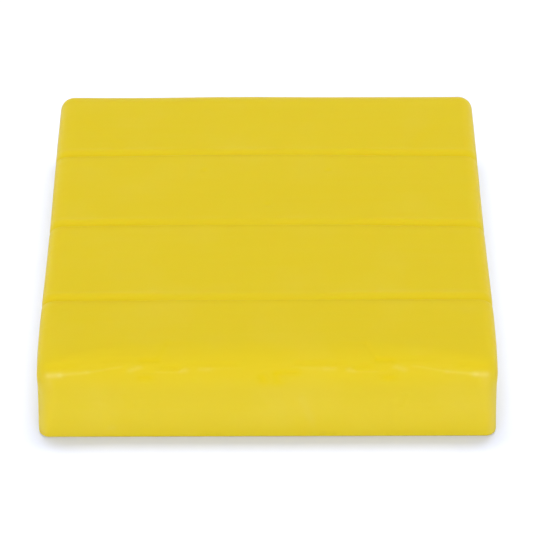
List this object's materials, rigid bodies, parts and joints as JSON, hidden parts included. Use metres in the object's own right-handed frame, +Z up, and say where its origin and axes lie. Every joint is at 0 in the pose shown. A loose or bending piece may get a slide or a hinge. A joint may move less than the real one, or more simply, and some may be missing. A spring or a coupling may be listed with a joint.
{
  "type": "clay bar",
  "caption": "Square yellow detailing clay bar of equal strips side by side, marked by break lines, with a soft rounded front edge, leaning sides and a flat base.",
  "frame": {"origin": "centre of the bar's base, on the surface it rests on", "axes": "+X along the strips, to the right seen from the front; +Y from the front strip to the back strip; +Z up out of the face with the break lines"},
  "size_m": [0.07, 0.07, 0.013],
  "materials": {
    "clay": "soft satin putty, slightly waxy, yellow"
  },
  "bodies": {
    "back_strip": {"back_strip": "clay"},
    "back_middle_strip": {"back_middle_strip": "clay"},
    "front_middle_strip": {"front_middle_strip": "clay"},
    "front_strip": {"front_strip": "clay"}
  },
  "joints": [
    {"name": "pull_back_middle", "type": "slide", "parent": "back_strip", "child": "back_middle_strip", "axis": [0, -1, 0], "range_m": [0, 0.025]},
    {"name": "pull_front_middle", "type": "slide", "parent": "back_middle_strip", "child": "front_middle_strip", "axis": [0, -1, 0], "range_m": [0, 0.025]},
    {"name": "pull_front", "type": "slide", "parent": "front_middle_strip", "child": "front_strip", "axis": [0, -1, 0], "range_m": [0, 0.025]}
  ]
}
